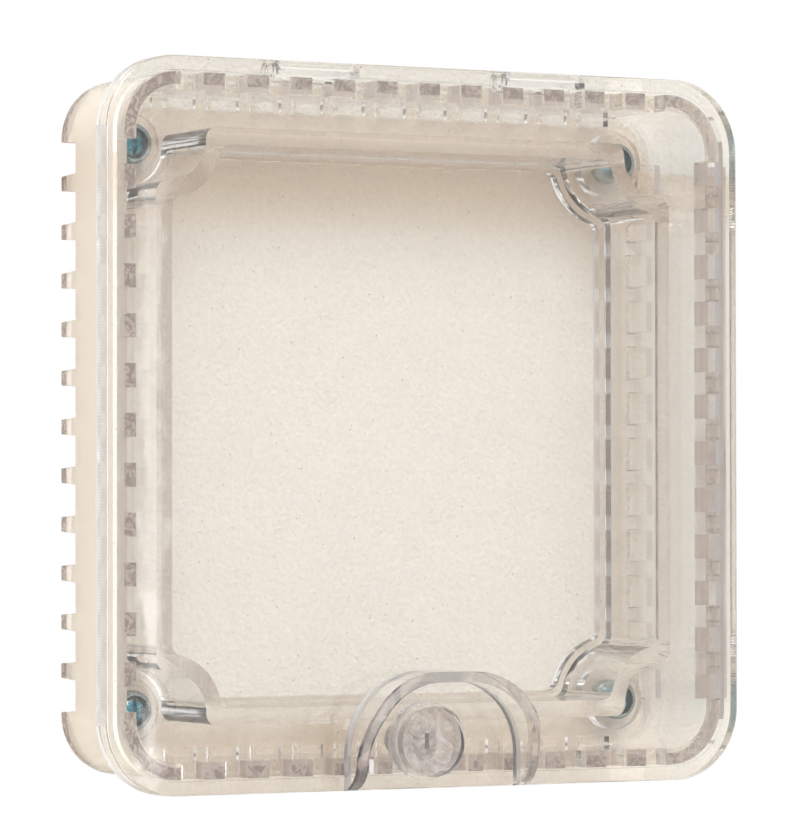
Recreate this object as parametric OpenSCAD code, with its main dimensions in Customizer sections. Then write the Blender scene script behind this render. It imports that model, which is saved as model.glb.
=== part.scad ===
// Clear thermostat lock box for a wall: a vented base frame, a hinged cover
// and a key lock at the bottom centre. X runs to the right, Z up, and the
// wall is the plane Y = 0. The front faces -Y. Depths are measured from the
// wall towards the front.

/* [Base] */
// Outer size of the square baffle wall, which everything else is built round
baffle_size = 124.5; // [110:0.5:140]
// Width of the channel between the baffle and the vented wall, left and right
side_channel = 6.65; // [6.2:0.05:8]
// Width of the channel at the top and bottom, where the lock sits
end_channel = 7.15; // [6.9:0.05:8.4]
// Depth of the base from the wall to its tooth tips
base_depth = 28; // [26:0.5:34]
// Thickness of the vented wall
base_wall = 3.6; // [3.2:0.1:4]
// Outer corner radius of the vented wall
base_corner_r = 12.8; // [10:0.1:15]
// Thickness of the back flange
flange_t = 2.5; // [2:0.1:3.5]
// How far the flange shows as a lip inside the baffle
lip_w = 1.4; // [0.6:0.1:2.4]

/* [Vents] */
// Gaps along each of the four walls
vent_count = 12; // [8:2:14]
// Distance from the baffle's outer face line in to the outermost gap
vent_inset = 6.15; // [5:0.05:8]
// Width of a front gap
front_gap_w = 5.3; // [4.5:0.1:6.5]
// Depth of a front gap
front_gap_depth = 4.5; // [3.5:0.1:6]
// Depth of a rear gap
rear_gap_depth = 7; // [5:0.1:8]
// Width of a rear tooth at its root
rear_root_w = 3.8; // [3.4:0.05:4.6]
// Width of a rear tooth at its tip
rear_tip_w = 3.05; // [2.4:0.05:3.4]
// How far each rear gap cuts into the flange behind the wall
flange_notch = 1.6; // [1:0.1:2.4]

/* [Baffle] */
// Thickness of the baffle wall
baffle_wall = 3.6; // [2.4:0.1:4.2]
// How far the baffle stops behind the tooth tips
baffle_setback = 4.3; // [3.5:0.1:8]
// Radius of the hollow corner that goes round each screw
corner_hollow_r = 8.7; // [7.5:0.1:9.5]
// Blend between the hollow corners and the straight walls
corner_blend_r = 2.6; // [1.6:0.1:3]

/* [Screws] */
// Distance from the baffle's outer face line in to a screw centre
screw_inset = 2.75; // [2:0.05:4]
// Diameter over the screw thread
screw_d = 4.2; // [3.5:0.1:4.8]
// Diameter of the plain neck under the head
screw_neck_d = 3.4; // [2.8:0.1:3.8]
// Diameter of the pan head
screw_head_d = 8.6; // [7:0.1:9]
// Height of the pan head
screw_head_h = 2.4; // [2:0.1:3]
// Length of the screw under its head
screw_len = 25.4; // [19:0.1:38]
// Clearance of the screw holes, on the radius
screw_hole_gap = 0.2; // [0.1:0.05:0.4]
// Diameter of the boss under each screw head
boss_d = 13.4; // [10:0.1:14]
// Depth of the boss from the wall to the screw head
boss_depth = 5.4; // [4:0.1:8]

/* [Cover] */
// Thickness of the front plate
plate_t = 2; // [1.6:0.1:3]
// Thickness of the rim
rim_wall = 2.8; // [2.4:0.1:3.2]
// Depth of the rim, front plate included
rim_depth = 5.2; // [4.6:0.1:6.5]
// Gap between the rim and the base at the sides
side_gap = 0.9; // [0.6:0.1:1.4]
// Gap between the rim and the base at top and bottom
end_gap = 0.4; // [0.3:0.1:0.8]
// Gap between the tooth tips and the front plate
seat_gap = 0.2; // [0.1:0.05:0.4]
// Radius of the front edge
edge_r = 0.45; // [0.3:0.05:1]

/* [Hinge] */
// Distance between the middles of the two hooks
hinge_pitch = 55.3; // [48:0.1:62]
// How far the pair of hooks sits to the right of the centre
hinge_offset = 1.5; // [0:0.1:2]
// Length of a hook along the top edge
hook_w = 17.3; // [12:0.1:20]
// Thickness of the strip that carries a hook
hook_strip_t = 1.65; // [1.2:0.05:1.8]
// Radius of the hinge bar
bar_r = 1.1; // [0.9:0.05:1.2]
// Running clearance of the bar, on the radius
bar_gap = 0.05; // [0.02:0.01:0.08]
// Thickness of the hook round the bar
hook_wall = 0.75; // [0.6:0.05:0.8]
// Distance from the rim back to the hinge axis
hinge_setback = 3; // [2.8:0.1:3.6]
// Thickness of the ears that carry the bar
ear_t = 2; // [1.5:0.1:3]
// End play of a hook between its ears
hook_end_gap = 0.3; // [0.2:0.05:0.5]

/* [Hood] */
// Width of the hood over the lock
hood_w = 43; // [38:0.5:48]
// Height of the hood above the bottom edge
hood_h = 24.85; // [22:0.05:28]
// Radius of its shoulders
hood_shoulder_r = 17.5; // [14:0.5:18]
// How far it stands out of the front plate
hood_reach = 10.4; // [6:0.1:12]
// Thickness of its wall
hood_wall = 2.2; // [1.6:0.1:3]
// Reach of its front edge where the foot starts to curve in
hood_foot_reach = 7; // [4:0.1:7.5]
// Height of the curved foot
hood_foot_h = 6.8; // [4:0.1:8]
// Height over which the reach grows above the foot
hood_slope_h = 9.2; // [6:0.1:10]

/* [Lock] */
// Distance from the baffle's outer face line out to the lock's axis
lock_offset = 4.175; // [3.8:0.025:4.5]
// Outer diameter of the lock boss
lock_boss_d = 16.4; // [15.6:0.1:17]
// Thickness of the boss round its bowl
bowl_rim = 0.7; // [0.6:0.05:1.2]
// Depth of the bowl down to the plug's face
bowl_depth = 3.8; // [3:0.1:4.2]
// Thickness of the plug's head at its edge
plug_head_t = 1; // [0.8:0.1:1.2]
// Rise of the plug's domed face
plug_dome = 0.9; // [0.5:0.1:1.4]
// Gap between the lock's sleeve and the baffle beside it
sleeve_side_gap = 0.375; // [0.2:0.025:0.5]
// Running clearance of the plug, on the radius
plug_gap = 0.05; // [0.02:0.01:0.09]
// Thickness of the sleeve round the plug
sleeve_wall = 0.9; // [0.7:0.05:1]
// Length of the sleeve behind the boss
sleeve_len = 7.2; // [6.6:0.1:8]
// Width of the keyway
keyway_w = 1.1; // [0.8:0.1:1.3]
// Thickness of the cam
cam_t = 2; // [1.6:0.1:2.6]
// Width of the cam's arm
cam_arm_w = 4.4; // [3.6:0.1:5]
// Clearance of the cam on the square
tail_gap = 0.05; // [0.02:0.01:0.1]
// Thickness of the washer in front of the cam
washer_t = 0.5; // [0.3:0.05:0.8]
// Free space of the cam's tip inside the strike slot
cam_tip_gap = 0.2; // [0.1:0.05:0.5]

/* [Hidden] */
eps = 0.01;
round_fn = 96;
clear = [0.86, 0.90, 0.92, 0.35];
zinc = [0.45, 0.60, 0.62];
steel = [0.70, 0.71, 0.73];

inner_w = baffle_size + 2 * side_channel;
inner_h = baffle_size + 2 * end_channel;
base_w = inner_w + 2 * base_wall;
base_h = inner_h + 2 * base_wall;
baffle_depth = base_depth - baffle_setback;
gap_steps = vent_count - 1;
tooth_pitch = (baffle_size - 2 * vent_inset) / gap_steps;
rear_gap_root = tooth_pitch - rear_root_w;
rear_gap_tip = tooth_pitch - rear_tip_w;
tooth_round = 0.15;
fuse = 0.3;
screw_x = baffle_size / 2 - screw_inset;
screw_point_h = 5;
screw_tip_r = 0.3;
head_edge = 0.45;
head_edge_slope = 0.4;
recess_reach = 0.27;
recess_depth = 0.6;
recess_wing = 0.4;
recess_core = 0.38;

cover_w = base_w + 2 * (side_gap + rim_wall);
cover_h = base_h + 2 * (end_gap + rim_wall);
cover_r = base_corner_r + rim_wall;
plate_back = base_depth + seat_gap;
front = plate_back + plate_t;
rim_back = front - rim_depth;

hook_r = bar_r + bar_gap + hook_wall;
hinge_z = cover_h / 2 - hook_r;
hinge_depth = rim_back - hinge_setback;
hook_x = [hinge_offset - hinge_pitch / 2, hinge_offset + hinge_pitch / 2];
hook_free = 0.3;
hook_mouth = 1.6 * bar_r;
mouth_angle = -45;
ear_r = hook_r - 0.15;
pocket_skin = 1.2;

lock_z = -baffle_size / 2 - lock_offset;
lock_gap = 0.5;
boss_back = baffle_depth + lock_gap;
bowl_r = lock_boss_d / 2 - bowl_rim;
plug_face = front - bowl_depth;
plug_head_back = plug_face - plug_head_t;
sleeve_back = boss_back - sleeve_len;
sleeve_r = lock_offset - sleeve_side_gap;
plug_r = sleeve_r - sleeve_wall - plug_gap;
tail_square = 1.26 * plug_r;
lens_inset = 0.4;
end_play = 0.05;
shank_back = sleeve_back - end_play;
cam_front = sleeve_back - washer_t - 2 * end_play;
cam_back = cam_front - cam_t;
cam_reach = base_h / 2 + lock_z - cam_tip_gap;
slot_half_w = sqrt(pow(cam_reach, 2) - pow(inner_h / 2 + lock_z, 2)) + 2 * cam_tip_gap;
cam_screw_r = 1.2;
cam_screw_head_r = 2.5;
cam_screw_head_h = 1.5;
cam_screw_grip = 3;
thread_end_gap = 0.5;

wafer_count = 3;
wafer_t = 0.6;
wafer_pitch = 1.5;
wafer_h = 1.75 * plug_r;
wafer_w = keyway_w + 1.2;
wafer_play = 0.05;
wafer_lug_x = 0.74 * plug_r;
wafer_lug_h = 0.5;
wafer_window = [keyway_w + 0.1, 0.9 * plug_r];
first_wafer = 1.8;
keyway_h = 1.2 * plug_r;
keyway_end = 1;
gate_h = 0.6;
spring_r = wafer_t / 2 - wafer_play;
spring_x = wafer_lug_x - 0.45;
spring_len = 1.5;
wafer_depths = [for (i = [0:wafer_count - 1]) sleeve_back + first_wafer + i * wafer_pitch];

// Extrudes a flat X-Z shape from one depth to another
module slab(from, to) {
  translate([0, -from, 0]) rotate([90, 0, 0]) linear_extrude(to - from) children();
}

// Extrudes a flat Y-Z shape along X, centred
module bar_along_x(length) {
  translate([-length / 2, 0, 0]) rotate([90, 0, 90]) linear_extrude(length) children();
}

module rod(r, from, to) {
  translate([0, -from, 0]) rotate([90, 0, 0]) cylinder(r = r, h = to - from, $fn = round_fn);
}

module rounded_rect(w, h, r) {
  square([w - 2 * r, h], center = true);
  square([w, h - 2 * r], center = true);
  for (x = [-1, 1], z = [-1, 1])
    translate([x * (w / 2 - r), z * (h / 2 - r)]) circle(r, $fn = round_fn);
}

module at_screws() {
  for (x = [-1, 1], z = [-1, 1]) translate([x * screw_x, 0, z * screw_x]) children();
}

// A square whose corners curve inwards round the four screws, with the hollow
// corners blended into the straight sides
module hollow_cornered(half, hollow_r, blend) {
  reach = hollow_r + blend;
  blend_x = half - blend;
  blend_z = screw_x - sqrt(pow(reach, 2) - pow(screw_x - blend_x, 2));
  difference() {
    square(2 * half, center = true);
    for (x = [-1, 1], z = [-1, 1]) scale([x, z]) {
      translate([screw_x, screw_x]) circle(hollow_r, $fn = round_fn);
      for (swap = [false, true]) mirror(swap ? [1, -1] : [0, 0]) difference() {
        polygon([[blend_x, blend_z], [half + 1, blend_z], [half + 1, screw_x],
          [screw_x, screw_x]]);
        translate([blend_x, blend_z]) circle(blend, $fn = round_fn);
      }
    }
  }
}

// Outlines of the gaps in X and Y. A rear gap widens to the wall, with eased tooth ends
module front_gap() {
  translate([-front_gap_w / 2, -base_depth - 1]) square([front_gap_w, front_gap_depth + 1]);
}

module rear_gap() {
  half_tip = rear_gap_tip / 2;
  half_root = rear_gap_root / 2;
  polygon([[-half_tip - tooth_round, 1], [-half_tip - tooth_round, 0],
    [-half_tip, -2 * tooth_round], [-half_root, -rear_gap_depth],
    [half_root, -rear_gap_depth], [half_tip, -2 * tooth_round],
    [half_tip + tooth_round, 0], [half_tip + tooth_round, 1]]);
}

// Repeats an outline along all four walls, cut to the given depth from their outer faces
module along_walls(cut) {
  for (turn = [0, -90]) {
    span = turn == 0 ? base_h : base_w;
    rotate([0, turn, 0])
      for (i = [0:gap_steps], s = [-1, 1])
        translate([(i - gap_steps / 2) * tooth_pitch, 0, s * ((span - cut) / 2 + 1)])
          linear_extrude(cut + 2, center = true) children();
  }
}

module vented_wall() {
  difference() {
    slab(0, base_depth) difference() {
      rounded_rect(base_w, base_h, base_corner_r);
      rounded_rect(inner_w, inner_h, base_corner_r - base_wall);
    }
    along_walls(base_wall + 1) front_gap();
    for (x = hook_x) hinge_trough(x);
    lock_notch();
    lock_groove();
    strike_slot();
  }
}

// Round trough in the top wall that a hook turns in
module hinge_trough(x) {
  length = hook_w + 2 * hook_end_gap;
  translate([x - length / 2, -hinge_depth, hinge_z]) rotate([0, 90, 0])
    cylinder(r = hook_r + hook_free, h = length, $fn = round_fn);
}

// Ears and bar that a hook hangs on
module hinge_bar(x) {
  length = hook_w + 2 * (hook_end_gap + ear_t);
  translate([x - length / 2, -hinge_depth, hinge_z]) rotate([0, 90, 0])
    cylinder(r = bar_r, h = length, $fn = round_fn);
  for (side = [-1, 1]) translate([x + side * (length - ear_t) / 2, -hinge_depth, 0]) {
    translate([-ear_t / 2, 0, hinge_z]) rotate([0, 90, 0])
      cylinder(r = ear_r, h = ear_t, $fn = round_fn);
    translate([-ear_t / 2, -ear_r, base_h / 2 - base_wall / 2])
      cube([ear_t, 2 * ear_r, hinge_z - base_h / 2 + base_wall / 2]);
  }
}

// Clears the lock boss of the cover
module lock_notch() {
  half_w = lock_boss_d / 2 + 2 * lock_gap;
  translate([-half_w, -base_depth - 1, -base_h / 2 - 1])
    cube([2 * half_w, base_depth + 1 - baffle_depth, base_wall + 2]);
}

// Round groove in the bottom wall that the lock's sleeve and cam stand in
module lock_groove() {
  translate([0, 0, lock_z]) rod(lock_offset, cam_back - lock_gap, base_depth + 1);
}

// The cam turns into this slot and holds the cover
module strike_slot() {
  translate([-slot_half_w, -cam_front - cam_tip_gap, -base_h / 2 - 1])
    cube([2 * slot_half_w, cam_t + 2 * cam_tip_gap, base_wall + 2]);
}

module baffle() {
  half = baffle_size / 2;
  slab(0, baffle_depth) difference() {
    hollow_cornered(half, corner_hollow_r, corner_blend_r);
    hollow_cornered(half - baffle_wall, corner_hollow_r + baffle_wall, corner_blend_r);
  }
}

module flange() {
  opening_half = baffle_size / 2 - baffle_wall - lip_w;
  slab(0, flange_t) difference() {
    rounded_rect(inner_w + 2 * fuse, inner_h + 2 * fuse, base_corner_r - base_wall + fuse);
    hollow_cornered(opening_half, corner_hollow_r + baffle_wall + lip_w, corner_blend_r);
  }
}

module base() {
  color(clear) difference() {
    union() {
      vented_wall();
      flange();
      baffle();
      at_screws() rod(boss_d / 2, 0, boss_depth);
      for (x = hook_x) hinge_bar(x);
    }
    along_walls(base_wall + flange_notch) rear_gap();
    at_screws() rod(screw_d / 2 + screw_hole_gap, -1, boss_depth + 1);
  }
}

// Pan head as a turned profile: flat underside, rounded edge, low dome
module pan_head(r, h) {
  edge = h * head_edge;
  rise = h - edge;
  dome_r = (pow(r - edge, 2) + pow(rise, 2)) / (2 * rise);
  rotate([90, 0, 0]) rotate_extrude($fn = round_fn) union() {
    square([r, edge]);
    intersection() {
      square([r - edge * head_edge_slope, h]);
      translate([0, h - dome_r]) circle(dome_r, $fn = round_fn);
    }
    translate([r - edge, edge]) intersection() {
      circle(edge, $fn = round_fn);
      square(edge);
    }
  }
}

// Cross recess with a round core, cut from the top of a head of diameter d and height h
module cross_recess(d, h) {
  reach = d * recess_reach;
  wing = reach * recess_wing;
  depth = h * recess_depth;
  for (a = [0, 90]) rotate([0, a, 0]) translate([-reach, -1, -wing / 2])
    cube([2 * reach, depth + 1, wing]);
  rotate([-90, 0, 0]) translate([0, 0, -1])
    cylinder(r = reach * recess_core, h = depth + 1 + fuse, $fn = round_fn);
}

// The neck fills the boss, and the thread starts at the wall
module mounting_screw() {
  thread_end = screw_len - boss_depth - screw_point_h;
  difference() {
    union() {
      translate([0, -boss_depth, 0]) pan_head(screw_head_d / 2, screw_head_h);
      rod(screw_neck_d / 2, -eps, boss_depth + eps);
      rod(screw_d / 2, -thread_end, 0);
      translate([0, thread_end, 0]) rotate([-90, 0, 0])
        cylinder(r1 = screw_d / 2, r2 = screw_tip_r, h = screw_point_h, $fn = round_fn);
    }
    translate([0, -boss_depth - screw_head_h, 0]) cross_recess(screw_head_d, screw_head_h);
  }
}

module mounting_screws() {
  color(zinc) at_screws() mounting_screw();
}

// A block with rounded corners and a rounded front edge, made of two crossed
// bars and four turned corners
module soft_block(w, h, r, from, to, edge) {
  thick = to - from;
  for (turn = [0, 90]) {
    size = turn == 0 ? w : h;
    length = (turn == 0 ? h : w) - 2 * r;
    translate([0, -from, 0]) rotate([0, turn, 0]) linear_extrude(length, center = true) {
      translate([-size / 2, edge - thick]) square([size, thick - edge]);
      translate([edge - size / 2, -thick]) square([size - 2 * edge, thick]);
      for (s = [-1, 1]) translate([s * (size / 2 - edge), edge - thick])
        circle(edge, $fn = round_fn);
    }
  }
  for (x = [-1, 1], z = [-1, 1])
    translate([x * (w / 2 - r), -from, z * (h / 2 - r)]) rotate([90, 0, 0])
      rotate_extrude($fn = round_fn) {
        square([r, thick - edge]);
        square([r - edge, thick]);
        intersection() {
          translate([r - edge, thick - edge]) circle(edge, $fn = round_fn);
          square([r, thick]);
        }
      }
}

// Arch over the lock, standing on the bottom edge of the cover
module arch(inset) {
  half = hood_w / 2 - inset;
  r = hood_shoulder_r - inset;
  top = hood_h - cover_h / 2 - inset;
  bottom = -cover_h / 2 - inset;
  for (s = [-1, 1]) translate([s * (half - r), top - r]) circle(r, $fn = round_fn);
  translate([r - half, top - r]) square([2 * (half - r), r]);
  translate([-half, bottom]) square([2 * half, top - r - bottom]);
}

// Side outline of the hood: full reach at the top, less lower down, none at the foot
module hood_side() {
  bottom = -cover_h / 2;
  foot = [for (a = [90:-15:0]) [-front - hood_foot_reach * cos(a),
    bottom + hood_foot_h * (1 - sin(a))]];
  polygon(concat([[-plate_back - 1, bottom]], foot,
    [[-front - hood_reach, bottom + hood_foot_h + hood_slope_h],
      [-front - hood_reach, bottom + hood_h + 1], [-plate_back - 1, bottom + hood_h + 1]]));
}

module hood() {
  intersection() {
    slab(plate_back + plate_t / 2, front + hood_reach) difference() {
      arch(0);
      arch(hood_wall);
    }
    bar_along_x(hood_w + 2) hood_side();
  }
}

// Hook on the top edge of the rim: a strip that curls round the hinge bar and is
// open at the lower back, where it snaps over the bar
module hook(x) {
  translate([x, 0, 0]) difference() {
    bar_along_x(hook_w) {
      translate([-hinge_depth, hinge_z]) circle(hook_r, $fn = round_fn);
      translate([-rim_back - fuse, cover_h / 2 - hook_strip_t])
        square([hinge_setback + fuse, hook_strip_t]);
    }
    bar_along_x(hook_w + 2) {
      translate([-hinge_depth, hinge_z]) circle(bar_r + bar_gap, $fn = round_fn);
      translate([-hinge_depth, hinge_z]) rotate(mouth_angle)
        translate([0, -hook_mouth / 2]) square([2 * hook_r, hook_mouth]);
    }
  }
}

// Relief in the rim over each hinge bar
module hook_pocket(x) {
  translate([x - hook_w / 2, -(front - pocket_skin), 0])
    cube([hook_w, front - pocket_skin - rim_back + 1, cover_h / 2 - hook_strip_t]);
}

module cover_shell() {
  difference() {
    soft_block(cover_w, cover_h, cover_r, rim_back, front, edge_r);
    slab(rim_back - 1, plate_back)
      rounded_rect(cover_w - 2 * rim_wall, cover_h - 2 * rim_wall, cover_r - rim_wall);
    intersection() {
      union() for (x = hook_x) hook_pocket(x);
      slab(0, front) translate([-cover_w / 2, cover_h / 2 - rim_wall - eps])
        square([cover_w, rim_wall]);
    }
  }
}

module cover() {
  color(clear) difference() {
    union() {
      cover_shell();
      for (x = hook_x) hook(x);
      hood();
      translate([0, 0, lock_z]) {
        rod(lock_boss_d / 2, boss_back, front);
        rod(sleeve_r, sleeve_back, boss_back + eps);
      }
    }
    translate([0, 0, lock_z]) {
      rod(bowl_r, plug_head_back - end_play, front + 1);
      rod(plug_r + plug_gap, sleeve_back - 1, front);
      for (s = [-1, 1]) translate([-keyway_w / 2, -plug_head_back, s * plug_r - gate_h / 2])
        cube([keyway_w, plug_head_back - sleeve_back + 1, gate_h]);
    }
  }
}

// Flat head with a domed lens face, a little smaller than the head
module plug_head() {
  r = bowl_r - plug_gap;
  lens_r = r - lens_inset;
  dome_r = (pow(lens_r, 2) + pow(plug_dome, 2)) / (2 * plug_dome);
  translate([0, -plug_head_back, 0]) rotate([90, 0, 0]) rotate_extrude($fn = round_fn) {
    square([r, plug_head_t]);
    intersection() {
      translate([0, plug_head_t + plug_dome - dome_r]) circle(dome_r, $fn = round_fn);
      translate([0, plug_head_t / 2]) square([r - lens_inset / 2, plug_head_t + plug_dome]);
    }
  }
}

module wafer_outline(play) {
  w = wafer_w + 2 * play;
  translate([-w / 2, -wafer_h / 2 - play]) square([w, wafer_h + 2 * play]);
}

module lock_plug() {
  color(clear) translate([0, 0, lock_z]) difference() {
    union() {
      plug_head();
      rod(plug_r, shank_back, plug_head_back + eps);
      translate([-tail_square / 2, -shank_back, -tail_square / 2])
        cube([tail_square, shank_back - cam_back, tail_square]);
    }
    translate([-keyway_w / 2, -front - 1, -keyway_h / 2])
      cube([keyway_w, front + 1 - sleeve_back - keyway_end, keyway_h]);
    for (d = wafer_depths) {
      slab(d - wafer_play, d + wafer_t + wafer_play) {
        wafer_outline(3 * wafer_play);
        translate([0, -spring_len - wafer_play]) square([wafer_lug_x + wafer_play, spring_len + 1]);
      }
    }
    rod(cam_screw_r + tail_gap, cam_back - 1, cam_back + cam_screw_grip);
  }
}

// Tumbler wafers, drawn in as they are with the key in the lock
module wafers() {
  color(steel) translate([0, 0, lock_z]) for (d = wafer_depths)
    slab(d, d + wafer_t) difference() {
      union() {
        wafer_outline(0);
        square([wafer_lug_x, wafer_lug_h]);
      }
      square(wafer_window, center = true);
    }
}

// One small spring under each wafer's lug
module wafer_springs() {
  color(steel) translate([spring_x, 0, lock_z]) for (d = wafer_depths)
    translate([0, -d - wafer_t / 2, -spring_len])
      cylinder(r = spring_r, h = spring_len - wafer_play, $fn = round_fn);
}

module cam_washer() {
  color(steel) translate([0, 0, lock_z]) difference() {
    rod(sleeve_r, sleeve_back - end_play - washer_t, sleeve_back - end_play);
    rod(tail_square / sqrt(2) + tail_gap, 0, front);
  }
}

// Cam lever: points to the right when unlocked and turns down into the strike
module cam() {
  color(clear) translate([0, 0, lock_z]) difference() {
    slab(cam_back, cam_front) {
      circle(sleeve_r, $fn = round_fn);
      translate([0, -cam_arm_w / 2]) intersection() {
        square([cam_reach, cam_arm_w]);
        translate([0, cam_arm_w / 2]) circle(cam_reach, $fn = round_fn);
      }
    }
    slab(cam_back - 1, cam_front + 1) square(tail_square + 2 * tail_gap, center = true);
  }
}

module cam_screw() {
  color(steel) translate([0, 0, lock_z]) difference() {
    union() {
      mirror([0, 1, 0]) translate([0, cam_back, 0])
        pan_head(cam_screw_head_r, cam_screw_head_h);
      rod(cam_screw_r, cam_back - eps, cam_back + cam_screw_grip - thread_end_gap);
    }
    translate([0, cam_screw_head_h - cam_back, 0]) mirror([0, 1, 0])
      cross_recess(2 * cam_screw_head_r, cam_screw_head_h);
  }
}

base();
mounting_screws();
cover();
lock_plug();
wafers();
wafer_springs();
cam_washer();
cam();
cam_screw();
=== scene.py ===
"""A clear polycarbonate lock box on a cream plaster wall, lit by soft studio lamps.

Metres, in the frame of the CAD: the wall is the plane Y = 0, the front faces -Y, and Z is up.
"""

import math

import bpy
from mathutils import Matrix, Vector

MM = 0.001
PLASTIC_IOR = 1.585
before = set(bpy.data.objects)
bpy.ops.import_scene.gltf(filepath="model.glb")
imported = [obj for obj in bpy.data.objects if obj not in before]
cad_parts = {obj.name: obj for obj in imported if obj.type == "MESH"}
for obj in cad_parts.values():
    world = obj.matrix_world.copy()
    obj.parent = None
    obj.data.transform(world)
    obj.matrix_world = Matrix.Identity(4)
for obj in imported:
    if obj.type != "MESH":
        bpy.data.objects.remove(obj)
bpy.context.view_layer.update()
scene = bpy.context.scene


def linear(hex_colour):
    """An sRGB hex value as linear RGBA."""
    parts = [int(hex_colour[i : i + 2], 16) / 255 for i in (1, 3, 5)]
    return [c / 12.92 if c <= 0.04045 else ((c + 0.055) / 1.055) ** 2.4 for c in parts] + [1.0]


# ---- node helpers: a link is a tuple (node, output name) ----


def new_tree(name):
    """A new material of that name, and its empty node tree."""
    material = bpy.data.materials.new(name)
    material.use_nodes = True
    material.node_tree.nodes.clear()
    return material, material.node_tree


def add(tree, kind, settings=None, **inputs):
    """A node of that kind. Inputs are named with _ for spaces, or i and a number."""
    node = tree.nodes.new(kind)
    for key, value in (settings or {}).items():
        setattr(node, key, value)
    for key, value in inputs.items():
        numbered = key[0] == "i" and key[1:].isdigit()
        socket = node.inputs[int(key[1:]) if numbered else key.replace("_", " ")]
        if isinstance(value, tuple) and isinstance(value[0], bpy.types.Node):
            tree.links.new(value[0].outputs[value[1]], socket)
        else:
            socket.default_value = value
    return node


def calc(tree, operation, *values):
    """One step of arithmetic, as a link. Each value is a number or a link."""
    inputs = {f"i{i}": value for i, value in enumerate(values)}
    return add(tree, "ShaderNodeMath", {"operation": operation}, **inputs), "Value"


def product(tree, *values):
    """All the values multiplied, as a link."""
    total = values[0]
    for value in values[1:]:
        total = calc(tree, "MULTIPLY", total, value)
    return total


def distance(tree, across, along):
    """The length of a line that goes so far across and so far along."""
    squares = [calc(tree, "POWER", value, 2.0) for value in (across, along)]
    return calc(tree, "SQRT", calc(tree, "ADD", *squares))


def ramp(tree, value, start, end, low=0.0, high=1.0):
    """Low up to the start, high from the end on, and even between the two."""
    ends = {"From_Min": start, "From_Max": end, "To_Min": low, "To_Max": high}
    return add(tree, "ShaderNodeMapRange", Value=value, **ends), "Result"


def noise(tree, coords, scale, **more):
    """Cloudy noise, with so many clouds to the metre."""
    return add(tree, "ShaderNodeTexNoise", Vector=(coords, "Object"), Scale=scale, **more)


def tones(tree, share, first, second):
    """The first colour, turning into the second as the share grows."""
    inputs = {"Factor": share, "A": linear(first), "B": linear(second)}
    return add(tree, "ShaderNodeMix", {"data_type": "RGBA"}, **inputs), "Result"


def tinted(tree, colour, share, tint):
    """The colour, multiplied by a tint as far as the share says."""
    settings = {"data_type": "RGBA", "blend_type": "MULTIPLY"}
    return add(tree, "ShaderNodeMix", settings, Factor=share, A=colour, B=linear(tint)), "Result"


def skin(tree, colour, roughness, **more):
    """An opaque surface. The colour is a hex value or a link."""
    base = linear(colour) if isinstance(colour, str) else colour
    inputs = {"Base_Color": base, "Roughness": roughness, **more}
    return add(tree, "ShaderNodeBsdfPrincipled", **inputs), "BSDF"


def over(tree, below, share, above):
    """The shader above laid over the one below, as far as the share says."""
    return add(tree, "ShaderNodeMixShader", Fac=share, i1=below, i2=above), "Shader"


def facing(tree, axis):
    """How far the surface faces along that axis, from -1 to 1."""
    geometry = add(tree, "ShaderNodeNewGeometry")
    return add(tree, "ShaderNodeSeparateXYZ", Vector=(geometry, "Normal")), axis


def sideways(tree):
    """1 on faces that stand square to the wall, and 0 on those that lie flat to it."""
    return calc(tree, "LESS_THAN", calc(tree, "ABSOLUTE", facing(tree, "Y")), 0.5)


# ---- where painted light and shade lie on the base, and its pale lip edge ----


def tooth_tips(tree, place):
    """1 on the ends of the front teeth, in a band along a rounded rectangle, and 0 elsewhere."""
    half_w, half_h, corner, band, tip_depth = 71.6 * MM, 72.9 * MM, 12.4 * MM, 2.5 * MM, 27.9 * MM
    side = calc(tree, "SUBTRACT", calc(tree, "ABSOLUTE", (place, "X")), half_w - corner)
    rise = calc(tree, "SUBTRACT", calc(tree, "ABSOLUTE", (place, "Z")), half_h - corner)
    round_part = distance(
        tree, calc(tree, "MAXIMUM", side, 0.0), calc(tree, "MAXIMUM", rise, 0.0)
    )
    flat_part = calc(tree, "MINIMUM", calc(tree, "MAXIMUM", side, rise), 0.0)
    inward = calc(tree, "SUBTRACT", corner, calc(tree, "ADD", round_part, flat_part))
    within = calc(tree, "COMPARE", inward, band / 2, band / 2)
    return product(tree, within, calc(tree, "LESS_THAN", (place, "Y"), -tip_depth))


def flange_edge_shade(tree, place):
    """How much painted brown shade lies on the upright edges of the back flange and its notches,
    most on the left.
    """
    middle, half_thick, wall_x = -1.25 * MM, 1.3 * MM, 67 * MM
    thick = calc(tree, "COMPARE", (place, "Y"), middle, half_thick)
    outer = calc(tree, "GREATER_THAN", calc(tree, "ABSOLUTE", (place, "X")), wall_x)
    share = ramp(tree, (place, "X"), -20 * MM, 20 * MM, 0.8, 0.15)
    return product(tree, thick, outer, sideways(tree), share)


def left_outside_light(tree, place):
    """How much painted light, an opaque cream, lies on the outside of the vented wall: only where
    it faces left, corners included.
    """
    share = ramp(tree, facing(tree, "X"), -0.7, -0.3, 0.6, 0.0)
    return product(tree, share, calc(tree, "LESS_THAN", (place, "X"), -63 * MM))


def baffle_foot_shade(tree, place):
    """How much painted grey shade lies on the inner right face of the baffle: a strip just over
    the lip, between the corners, a little stronger and weaker with the pitch of the teeth."""
    face_x, depth, half_strip, half_run, pitch = 58.65 * MM, 4 * MM, 1.1 * MM, 48.5 * MM, 10.2 * MM
    face = calc(tree, "COMPARE", (place, "X"), face_x, 0.3 * MM)
    strip = calc(tree, "COMPARE", (place, "Y"), -depth, half_strip)
    run = calc(tree, "LESS_THAN", calc(tree, "ABSOLUTE", (place, "Z")), half_run)
    wave = calc(tree, "SINE", calc(tree, "MULTIPLY", (place, "Z"), 2 * math.pi / pitch))
    return product(tree, face, strip, run, calc(tree, "MULTIPLY_ADD", wave, 0.1, 0.65))


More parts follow.
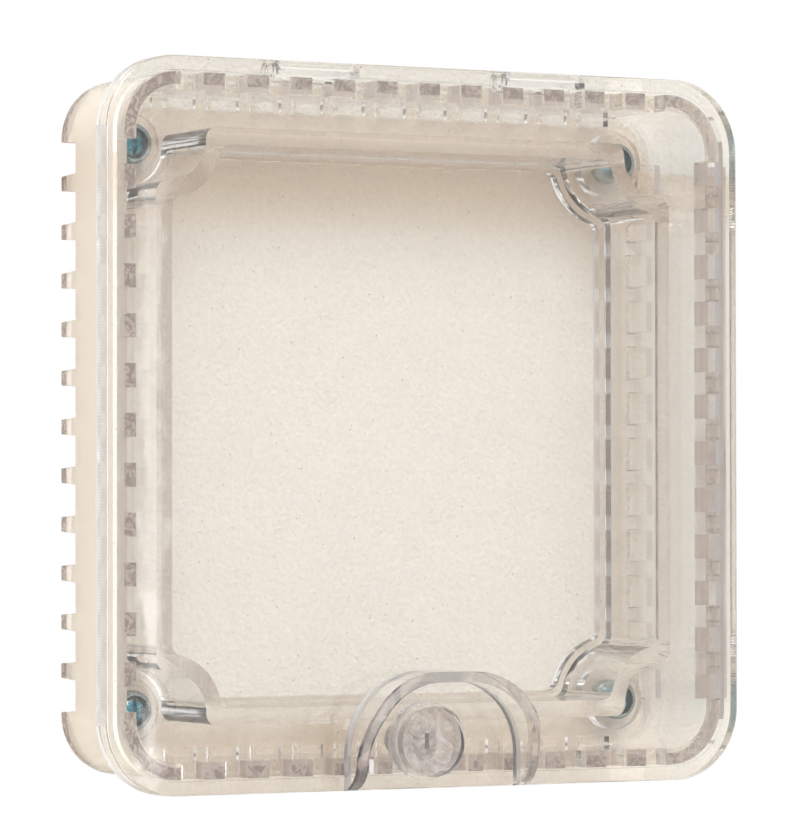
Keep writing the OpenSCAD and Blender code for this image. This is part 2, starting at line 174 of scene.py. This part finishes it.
def lip_edge(tree, place):
    """How hazy the inner edge of the lip is, on the right, where its moulded edge is pale."""
    face = calc(tree, "COMPARE", (place, "X"), 57.3 * MM, 0.25 * MM)
    return product(tree, face, sideways(tree), 0.65)


def gap_roof_shade(tree, place):
    """How much painted shade, a pale grey, lies on the roofs of the rear gaps, which would mirror
    the bright studio otherwise.
    """
    roof = calc(tree, "COMPARE", (place, "Y"), -7.0 * MM, 0.3 * MM)
    return product(tree, roof, calc(tree, "SUBTRACT", 1.0, sideways(tree)), 0.8)


def base_layers(tree, coords, place, bump):
    """The layers of the base, from the lowest up, each with its share: painted light on the
    outside of the left wall, painted shade on the tooth tips, flange edges, baffle foot and gap
    roofs, and the pale lip edge.
    """
    # Painted shade: a swirled brown on the ends of the front teeth and the flange edges, weaker on
    # the right.
    swirl = noise(tree, coords, 420.0, Detail=1.0, Distortion=2.5)
    brown = tones(tree, ramp(tree, (swirl, "Fac"), 0.42, 0.62), "#7C6B63", "#B3A59D")
    tip_and_edge_shade = skin(tree, brown, 0.35, IOR=PLASTIC_IOR, Normal=bump)
    # Painted light: opaque cream on the outside of the left wall.
    cream = skin(tree, "#F2EAE0", 0.3, Normal=bump)
    # Painted shade: grey on the inner right face of the baffle.
    grey = skin(tree, "#7F7A7A", 0.35, Normal=bump)
    # A pale grey skin: painted shade on the gap roofs, and the pale edge of the lip.
    wear_and_shade = skin(tree, "#D2C7C1", 0.35, Normal=bump)
    weaker_right = ramp(tree, (place, "X"), 60 * MM, 70 * MM, 0.85, 0.35)
    tips = product(tree, tooth_tips(tree, place), weaker_right)
    return [
        (left_outside_light(tree, place), cream),
        (calc(tree, "MAXIMUM", tips, flange_edge_shade(tree, place)), tip_and_edge_shade),
        (baffle_foot_shade(tree, place), grey),
        (lip_edge(tree, place), wear_and_shade),
        (gap_roof_shade(tree, place), wear_and_shade),
    ]


# ---- where the cover is ribbed, and where painted shade and sheen lie on it ----


def rim_ribs(tree, place, flow):
    """Fine ribs across the outer sides of the rim, one every 0.6 mm, over the flow ripples."""
    pitch, side_x, strength = 0.6 * MM, 76.15 * MM, 3.0
    wave = calc(tree, "SINE", calc(tree, "MULTIPLY", (place, "Z"), 2 * math.pi / pitch))
    side = calc(tree, "GREATER_THAN", calc(tree, "ABSOLUTE", (place, "X")), side_x)
    return calc(tree, "MULTIPLY_ADD", product(tree, wave, side), strength, flow)


def sheen_and_shade_faces(tree, place):
    """How much pale opaque film lies on the cover, as painted sheen on the left that turns to
    painted shade
    on the right: on the ribbed left side of its rim, inside the right side of it, where the hood
    meets the plate, and in the bowl of the lock."""
    off_z = calc(tree, "ADD", (place, "Z"), 66.4 * MM)
    radius = distance(tree, (place, "X"), off_z)
    share = 0.0
    for face, strength in (
        (calc(tree, "LESS_THAN", (place, "X"), -76.15 * MM), 0.55),
        (calc(tree, "COMPARE", (place, "Y"), -31.1 * MM, 0.85 * MM), 0.45),
        (calc(tree, "LESS_THAN", radius, 8.4 * MM), 0.25),
        (calc(tree, "COMPARE", (place, "X"), 73.4 * MM, 0.3 * MM), 0.6),
    ):
        share = calc(tree, "MAXIMUM", product(tree, face, strength), share)
    return product(tree, share, sideways(tree))


def hood_edge_shade(tree, place):
    """How much painted shade darkens the hood: on its front edge, and on the sides of its wall in
    a strip behind it, most on the left. The edge stands at 40.6 mm and curves down to the plate
    over its foot."""
    foot_z, foot_h, foot_depth, foot_rise = -76.2 * MM, 6.8 * MM, 30.2 * MM, 7 * MM
    slope_z, slope, edge_depth = -69.4 * MM, 0.37, 40.6 * MM
    strip, plate_depth = 1.3 * MM, 30.5 * MM
    low = calc(tree, "DIVIDE", calc(tree, "SUBTRACT", (place, "Z"), foot_z), foot_h)
    low = calc(tree, "MINIMUM", calc(tree, "MAXIMUM", low, 0.0), 1.0)
    curl = calc(tree, "POWER", calc(tree, "SUBTRACT", 1.0, low), 2.0)
    arc = calc(tree, "SQRT", calc(tree, "SUBTRACT", 1.0, curl))
    foot = calc(tree, "MULTIPLY_ADD", arc, foot_rise, foot_depth)
    climb = calc(tree, "MAXIMUM", calc(tree, "SUBTRACT", (place, "Z"), slope_z), 0.0)
    edge = calc(tree, "MINIMUM", calc(tree, "MULTIPLY_ADD", climb, slope, foot), edge_depth)
    depth = calc(tree, "MULTIPLY", (place, "Y"), -1.0)
    near = calc(tree, "GREATER_THAN", calc(tree, "SUBTRACT", depth, edge), -strip)
    proud = calc(tree, "GREATER_THAN", depth, plate_depth)
    side_or_front = calc(tree, "MULTIPLY_ADD", sideways(tree), 0.5, 0.5)
    share = ramp(tree, (place, "X"), 0.0, 18 * MM, 0.95, 0.25)
    return product(tree, near, proud, side_or_front, share)


def cover_layers(tree, coords, place, bump):
    """The painted shade and sheen of the cover, from the lowest up, each with its share."""
    # Painted shade on the hood: a dark swirl of glossy opaque skin.
    swirl = noise(tree, coords, 140.0, Detail=1.0, Distortion=1.5)
    hood_shade_swirl = tones(tree, ramp(tree, (swirl, "Fac"), 0.5, 0.65), "#4A4852", "#A89A98")
    dark = skin(tree, hood_shade_swirl, 0.2, IOR=PLASTIC_IOR, Normal=bump)
    # Painted sheen, pale on the left, turning to painted mauve shade on the right.
    haze_and_sheen = tones(tree, ramp(tree, (place, "X"), 30 * MM, 70 * MM), "#D2D2D8", "#9C8B8D")
    pale = skin(tree, haze_and_sheen, 0.3, Normal=bump)
    return [(hood_edge_shade(tree, place), dark), (sheen_and_shade_faces(tree, place), pale)]


def lock_layers(tree, coords, place, bump):
    """Whitish swirls all through the lock, where the plastic is worn and milky."""
    swirl = noise(tree, coords, 160.0, Detail=3.0, Distortion=3.0)
    haze_and_sheen = skin(tree, tones(tree, (swirl, "Fac"), "#A79C9B", "#F6F2F0"), 0.2, IOR=PLASTIC_IOR)
    return [(ramp(tree, (swirl, "Fac"), 0.35, 0.7, 0.28, 0.7), haze_and_sheen)]


# ---- materials ----


def clear_plastic(name, gloss, edge_hex, body_hex, layers, ribs=None):
    """Injection-moulded clear polycarbonate: glossy faces, faint flow ripples, a warm grey body.
    Faces that lie flat to the wall cast a pale shadow, the others a warm and darker one."""
    material, tree = new_tree(name)
    coords = add(tree, "ShaderNodeTexCoord")
    place = add(tree, "ShaderNodeSeparateXYZ", Vector=(coords, "Object"))
    flow = noise(tree, coords, 90.0, Detail=2.0, Roughness=0.4), "Fac"
    height = ribs(tree, place, flow) if ribs else flow
    bump = add(tree, "ShaderNodeBump", Height=height, Strength=0.05, Distance=0.4 * MM), "Normal"
    rough = ramp(tree, flow, 0.0, 1.0, *gloss)
    shader = skin(tree, "#FFFFFF", rough, IOR=PLASTIC_IOR, Transmission_Weight=1.0, Normal=bump)
    # Opaque layers over the plastic: on the base and cover these are mostly painted light and
    # shade.
    for share, overlay in layers(tree, coords, place, bump):
        shader = over(tree, shader, share, overlay)
    shadow = tones(tree, calc(tree, "ABSOLUTE", facing(tree, "Y")), edge_hex, "#FAF8F6")
    shade = add(tree, "ShaderNodeBsdfTransparent", Color=shadow), "BSDF"
    path = add(tree, "ShaderNodeLightPath")
    seen = over(tree, shader, (path, "Is Shadow Ray"), shade)
    body = add(tree, "ShaderNodeVolumeAbsorption", Color=linear(body_hex), Density=0.9)
    add(tree, "ShaderNodeOutputMaterial", Surface=seen, Volume=(body, "Volume"))
    return material


def plated(name, colour, roughness, scale_mm, centres=None, rim_hex=None):
    """Metal with a thin plated or rolled skin: slight mottling of colour and gloss. Round centres
    at that many mm, up, down and sideways, the skin keeps its colour, and outside it is worn."""
    material, tree = new_tree(name)
    coords = add(tree, "ShaderNodeTexCoord")
    mottle = noise(tree, coords, 1 / (scale_mm * MM), Detail=4.0), "Fac"
    colours = tones(tree, mottle, *colour)
    if centres:
        place = add(tree, "ShaderNodeSeparateXYZ", Vector=(coords, "Object"))
        off = [
            calc(tree, "SUBTRACT", calc(tree, "ABSOLUTE", (place, axis)), centres * MM)
            for axis in "XZ"
        ]
        wear_and_shade = ramp(tree, distance(tree, *off), 1.9 * MM, 2.5 * MM)
        inputs = {"Factor": wear_and_shade, "A": colours, "B": linear(rim_hex)}
        colours = add(tree, "ShaderNodeMix", {"data_type": "RGBA"}, **inputs), "Result"
    rough = ramp(tree, mottle, 0.0, 1.0, roughness * 0.7, roughness * 1.4)
    bump = add(tree, "ShaderNodeBump", Height=mottle, Strength=0.15, Distance=0.1 * MM)
    metal = skin(tree, colours, rough, Metallic=1.0, Normal=(bump, "Normal"))
    add(tree, "ShaderNodeOutputMaterial", Surface=metal)
    return material


clear_base = clear_plastic(
    "clear_polycarbonate_base", (0.04, 0.08), "#D7C7B2", "#CBC6C2", base_layers
)
clear_cover = clear_plastic(
    "clear_polycarbonate_cover", (0.008, 0.02), "#EFE8DF", "#C9C6CA", cover_layers, ribs=rim_ribs
)
clear_lock = clear_plastic(
    "clear_polycarbonate_lock", (0.12, 0.3), "#F7F4EF", "#CBC6C2", lock_layers
)
zinc_screw = plated("zinc_plated_screw", ("#2C6A78", "#4E97A3"), 0.24, 0.6, 59.5, "#8B9490")
spring_steel = plated("lock_spring_steel", ("#A9AAAC", "#C2C3C4"), 0.25, 0.8)

FINISH = {
    "base": clear_base,
    "cover": clear_cover,
    "lock_plug": clear_lock,
    "cam": clear_lock,
    "mounting_screws": zinc_screw,
    "wafers": spring_steel,
    "wafer_springs": spring_steel,
    "cam_washer": spring_steel,
    "cam_screw": spring_steel,
}
for node, material in FINISH.items():
    for material_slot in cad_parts[node].material_slots:
        material_slot.material = material


# ---- stage: plaster wall and floor ----


def stage_plane(name, centre, size, turn, material):
    """A flat rectangle of the stage."""
    half_w, half_h = size[0] / 2, size[1] / 2
    signs = ((-1, -1), (1, -1), (1, 1), (-1, 1))
    corners = [(half_w * across, half_h * along, 0) for across, along in signs]
    mesh = bpy.data.meshes.new(name)
    mesh.from_pydata(corners, [], [(0, 1, 2, 3)])
    mesh.transform(Matrix.Translation(centre) @ turn)
    mesh.materials.append(material)
    plane = bpy.data.objects.new(name, mesh)
    scene.collection.objects.link(plane)
    return plane


def front_only(tree, shader):
    """The shader on the front of a plane, and nothing on the back of it."""
    geometry = add(tree, "ShaderNodeNewGeometry")
    gone = add(tree, "ShaderNodeBsdfTransparent"), "BSDF"
    sides = over(tree, shader, (geometry, "Backfacing"), gone)
    add(tree, "ShaderNodeOutputMaterial", Surface=sides)


def plaster_level(tree, place):
    """How light the plaster is, zone by zone, as the box's walls shade and catch the light."""
    across, up = (place, "X"), (place, "Z")
    spread = calc(tree, "MAXIMUM", across, calc(tree, "ABSOLUTE", up))
    right_gutter = calc(tree, "COMPARE", across, 65 * MM, 4.5 * MM)
    return product(
        tree,
        ramp(tree, spread, 68 * MM, 78 * MM, 1.0, 0.84),
        ramp(tree, across, -66 * MM, -60 * MM, 1.15, 1.0),
        calc(tree, "MULTIPLY_ADD", right_gutter, 0.12, 1.0),
        ramp(tree, up, 58 * MM, 64 * MM, 1.0, 1.1),
        ramp(tree, up, -64 * MM, -58 * MM, 1.15, 1.0),
    )


def plaster_shades(tree, place, pit, hollows):
    """The tints on the plaster, each with its share: dark specks, a painted brown shade in a strip
    seen through the right side of the rim, and the warm painted shade under the top of the baffle."""
    # Painted shade: a brown strip on the plaster, seen through the right side of the rim.
    strip = calc(tree, "COMPARE", (place, "X"), 88.8 * MM, 2.6 * MM)
    run = calc(tree, "LESS_THAN", calc(tree, "ABSOLUTE", (place, "Z")), 60 * MM)
    eaves = ramp(tree, (place, "Z"), 42 * MM, 52 * MM)
    below_top = calc(tree, "LESS_THAN", (place, "Z"), 58 * MM)
    return [
        (product(tree, pit, -0.8), "#8C7C6E"),
        (product(tree, strip, run, hollows), "#A38D8B"),
        (product(tree, eaves, below_top), "#F5ECE2"),
    ]


def plaster():
    """Trowelled cream plaster: fine sand grain, soft hollows and a few dark specks.
    Seen directly it is the white of the background, and nothing from behind."""
    material, tree = new_tree("cream_plaster_wall")
    coords = add(tree, "ShaderNodeTexCoord")
    place = add(tree, "ShaderNodeSeparateXYZ", Vector=(coords, "Object"))
    sand = noise(tree, coords, 900.0, Detail=3.0, Roughness=0.6), "Fac"
    hollows = noise(tree, coords, 60.0, Detail=2.0), "Fac"
    pits = add(
        tree, "ShaderNodeTexVoronoi", Vector=(coords, "Object"), Scale=420.0, Randomness=1.0
    )
    pit = ramp(tree, (pits, "Distance"), 0.03, 0.065, -1.0, 0.0)
    height = calc(tree, "ADD", calc(tree, "MULTIPLY_ADD", sand, 0.45, hollows), pit)
    bump = add(tree, "ShaderNodeBump", Height=height, Strength=0.8, Distance=1.2 * MM)
    colour = tones(tree, sand, "#E6E0D5", "#F8F4EC")
    for share, tint in plaster_shades(tree, place, pit, hollows):
        colour = tinted(tree, colour, share, tint)
    level = plaster_level(tree, place)
    lit = add(tree, "ShaderNodeVectorMath", {"operation": "SCALE"}, Vector=colour, Scale=level)
    face = skin(tree, (lit, "Vector"), 0.9, Normal=(bump, "Normal"))
    white = add(tree, "ShaderNodeEmission", Color=linear("#FFFFFF"), Strength=1.0), "Emission"
    path = add(tree, "ShaderNodeLightPath")
    front_only(tree, over(tree, face, (path, "Is Camera Ray"), white))
    return material


def pale_floor():
    """A plain pale floor, seen from above only."""
    material, tree = new_tree("pale_floor")
    coords = add(tree, "ShaderNodeTexCoord")
    cloud = noise(tree, coords, 6.0, Detail=3.0), "Fac"
    front_only(tree, skin(tree, tones(tree, cloud, "#EDEBE8", "#F2F0ED"), 0.8))
    return material


WALL_Y, FLOOR_Z = 0.2 * MM, -0.7
upright = Matrix.Rotation(math.pi / 2, 4, "X")
stage_plane("wall", (0, WALL_Y, 0), (3, 3), upright, plaster())
stage_plane("floor", (0, -0.6, FLOOR_Z), (6, 6), Matrix.Identity(4), pale_floor())


# ---- lamps and world ----


def area_lamp(name, place, target, size, watts):
    """A rectangular lamp that points at the target."""
    lamp = bpy.data.lights.new(name, "AREA")
    lamp.shape = "RECTANGLE"
    lamp.size, lamp.size_y = size
    lamp.energy = watts
    obj = bpy.data.objects.new(name, lamp)
    scene.collection.objects.link(obj)
    obj.location = place
    obj.rotation_euler = (Vector(target) - Vector(place)).to_track_quat("-Z", "Y").to_euler()


# The strips are thin lamps that the left of the cover mirrors as upright pale streaks.
area_lamp("key_softbox", (-0.35, -1.3, 1.2), (0, 0, 0), (1.0, 0.6), 11.2)
area_lamp("fill_softbox", (1.6, -1.2, 0.3), (0, 0, 0), (0.8, 1.2), 2)
area_lamp("strip_lamp", (0.658, -1.53, 0.013), (0, 0, 0.013), (0.012, 0.35), 0.016)
area_lamp("low_strip_lamp", (0.6565, -1.53, -0.125), (0, 0, -0.06), (0.007, 0.13), 0.0042)


def studio_world():
    """Soft light all round, darker from below and from the right; white where seen directly."""
    world = bpy.data.worlds.new("studio")
    world.use_nodes = True
    tree = world.node_tree
    tree.nodes.clear()
    coords = add(tree, "ShaderNodeTexCoord")
    split = add(tree, "ShaderNodeSeparateXYZ", Vector=(coords, "Generated"))
    level = product(
        tree,
        ramp(tree, (split, "Z"), -1.0, 1.0, 0.84, 1.02),
        ramp(tree, (split, "Y"), -1.0, -0.6, 1.05, 1.0),
        ramp(tree, (split, "X"), 0.5, 0.9, 1.0, 0.6),
    )
    studio = add(tree, "ShaderNodeBackground", Color=(1, 0.995, 0.985, 1), Strength=level)
    white = add(tree, "ShaderNodeBackground", Color=linear("#FFFFFF"), Strength=1.0)
    path = add(tree, "ShaderNodeLightPath")
    seen = over(tree, (studio, "Background"), (path, "Is Camera Ray"), (white, "Background"))
    add(tree, "ShaderNodeOutputWorld", Surface=seen)
    return world


scene.world = studio_world()


# ---- camera, at the photograph's place ----

YAW, PITCH, ROLL = math.radians(28.7237), math.radians(1.1196), math.radians(-0.0715)
CAMERA_AT = (-0.486373, -0.901423, -0.017841)
FOCAL_PX, FRAME_H, SENSOR_H = 4718.85, 839, 36
camera_data = bpy.data.cameras.new("camera")
camera_data.sensor_fit = "VERTICAL"
camera_data.sensor_height = SENSOR_H
camera_data.lens = FOCAL_PX * SENSOR_H / FRAME_H
camera_data.clip_start = 0.01
ahead = Vector(
    (math.sin(YAW) * math.cos(PITCH), math.cos(YAW) * math.cos(PITCH), math.sin(PITCH))
)
level_right = ahead.cross(Vector((0, 0, 1))).normalized()
level_up = level_right.cross(ahead)
right = level_right * math.cos(ROLL) + level_up * math.sin(ROLL)
up = level_up * math.cos(ROLL) - level_right * math.sin(ROLL)
turn = Matrix((right, up, -ahead)).transposed().to_4x4()
camera = bpy.data.objects.new("camera", camera_data)
scene.collection.objects.link(camera)
camera.matrix_world = Matrix.Translation(CAMERA_AT) @ turn
scene.camera = camera

scene.view_settings.view_transform = "Standard"
scene.cycles.max_bounces = 24
scene.cycles.transmission_bounces = 24
scene.cycles.glossy_bounces = 12
scene.cycles.transparent_max_bounces = 32
scene.cycles.use_denoising = True
